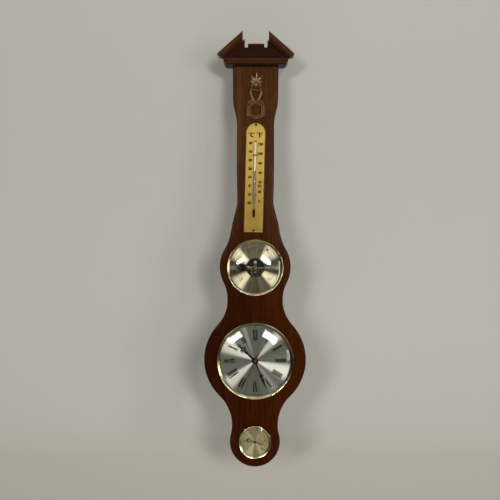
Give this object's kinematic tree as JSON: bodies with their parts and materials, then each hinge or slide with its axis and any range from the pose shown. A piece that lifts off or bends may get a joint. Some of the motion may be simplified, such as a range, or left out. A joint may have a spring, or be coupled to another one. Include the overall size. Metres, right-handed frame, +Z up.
{
  "type": "wall weather station",
  "caption": "Banjo-shaped wooden wall weather station with a broken pediment, thermometer, barometer, quartz clock and hygrometer.",
  "frame": {"origin": "hanging point: the top of the keyhole slot, in the plane of the wall", "axes": "+Z up along the board, +Y into the wall, +X to the right as the station is read"},
  "size_m": [0.1854, 0.041, 0.7876],
  "materials": {
    "mahogany": "stained and polished, semi-gloss",
    "mahogany_dark": "stained and polished, semi-gloss",
    "carving": "bronze-gilt, satin",
    "hanger_steel": "zinc plated",
    "scale_brass": "lacquered, satin",
    "brass": "polished",
    "clear_glass": "clear",
    "silver_dial": "spun, silvered",
    "gold_dial": "spun, pale gold",
    "black_metal": "black lacquer",
    "red_metal": "red lacquer",
    "steel": "bright",
    "black_plastic": "moulded",
    "column_liquid": "dyed spirit",
    "copper": "enamelled winding and copper alloy strip",
    "battery_skin": "printed sleeve, plain"
  },
  "bodies": {
    "case": {"back_board": "mahogany", "cornice_moulding": "mahogany", "rake_moulding_right": "mahogany", "rake_moulding_left": "mahogany", "tympanum_panel": "mahogany_dark", "carved_ornament": "carving", "hanger_plate": "hanger_steel", "hanger_screw_top": "hanger_steel", "hanger_screw_bottom": "hanger_steel", "thermometer_plate": "scale_brass", "plate_pin_top": "brass", "plate_pin_bottom": "brass", "thermometer_clip_top": "brass", "thermometer_clip_bottom": "brass", "barometer_bezel": "brass", "clock_bezel": "brass", "hygrometer_bezel": "brass", "barometer_case": "brass", "hygrometer_case": "brass", "barometer_base_plate": "brass", "pointer_cock": "brass", "sector_screw": "brass", "adjusting_screw": "brass", "movement_nut": "brass", "thermometer_tube": "clear_glass", "barometer_glass": "clear_glass", "clock_glass": "clear_glass", "hygrometer_glass": "clear_glass", "clock_dial": "silver_dial", "clock_sight_ring": "silver_dial", "barometer_dial": "gold_dial", "barometer_sight_ring": "gold_dial", "hygrometer_dial": "gold_dial", "movement_bridge": "black_metal", "clock_case": "steel", "aneroid_capsule": "steel", "capsule_spring": "steel", "battery_contact_positive": "steel", "battery_contact_negative": "steel", "movement_housing": "black_plastic", "movement_cover": "black_plastic", "thermometer_bulb_liquid": "column_liquid", "thermometer_column": "column_liquid", "stepper_coil": "copper", "humidity_coil": "copper", "battery": "battery_skin"},
    "hour_hand": {"hour_hand": "black_metal", "hour_wheel": "black_plastic"},
    "minute_hand": {"minute_hand": "black_metal", "cannon_pinion": "brass"},
    "second_hand": {"second_hand": "red_metal"},
    "setting_knob": {"setting_knob": "black_plastic", "motion_wheel": "black_plastic"},
    "barometer_hand": {"barometer_hand": "black_metal", "pointer_arbor": "steel"},
    "barometer_sector": {"sector_lever": "brass"},
    "barometer_set_hand": {"set_hand": "brass", "set_knob": "brass"},
    "hygrometer_hand": {"hygrometer_hand": "black_metal"},
    "thermometer_meniscus": {"thermometer_meniscus": "column_liquid"}
  },
  "joints": [
    {"name": "minute_hand_turn", "type": "hinge", "parent": "case", "child": "minute_hand", "pos_m": [0, -0.0205, -0.507], "axis": [0, 1, 0], "continuous": true},
    {"name": "hour_hand_turn", "type": "hinge", "parent": "case", "child": "hour_hand", "pos_m": [0, -0.0205, -0.507], "axis": [0, 1, 0], "continuous": true},
    {"name": "second_hand_turn", "type": "hinge", "parent": "case", "child": "second_hand", "pos_m": [0, -0.0205, -0.507], "axis": [0, 1, 0], "continuous": true},
    {"name": "setting_knob_turn", "type": "hinge", "parent": "case", "child": "setting_knob", "pos_m": [0, -0.0205, -0.495], "axis": [0, 1, 0], "continuous": true},
    {"name": "barometer_hand_turn", "type": "hinge", "parent": "case", "child": "barometer_hand", "pos_m": [0, -0.0205, -0.338], "axis": [0, 1, 0], "range_deg": [-45, 225]},
    {"name": "barometer_sector_turn", "type": "hinge", "parent": "case", "child": "barometer_sector", "pos_m": [-0.013, -0.0205, -0.338], "axis": [0, 1, 0], "range_deg": [-25, 5]},
    {"name": "barometer_set_hand_turn", "type": "hinge", "parent": "case", "child": "barometer_set_hand", "pos_m": [0, -0.0205, -0.338], "axis": [0, 1, 0], "continuous": true},
    {"name": "hygrometer_hand_turn", "type": "hinge", "parent": "case", "child": "hygrometer_hand", "pos_m": [0, -0.0205, -0.6547], "axis": [0, 1, 0], "range_deg": [-241, 29]},
    {"name": "thermometer_rise", "type": "slide", "parent": "case", "child": "thermometer_meniscus", "axis": [0.0236, 0, 0.9997], "range_m": [-0.058, 0.048], "deforming": ["thermometer_column"]}
  ],
  "couplings": [
    {"joint": "hour_hand_turn", "follows": "minute_hand_turn", "ratio": 0.083333},
    {"joint": "second_hand_turn", "follows": "minute_hand_turn", "ratio": 60},
    {"joint": "setting_knob_turn", "follows": "minute_hand_turn", "ratio": -0.33333},
    {"joint": "barometer_sector_turn", "follows": "barometer_hand_turn", "ratio": -0.11111}
  ]
}
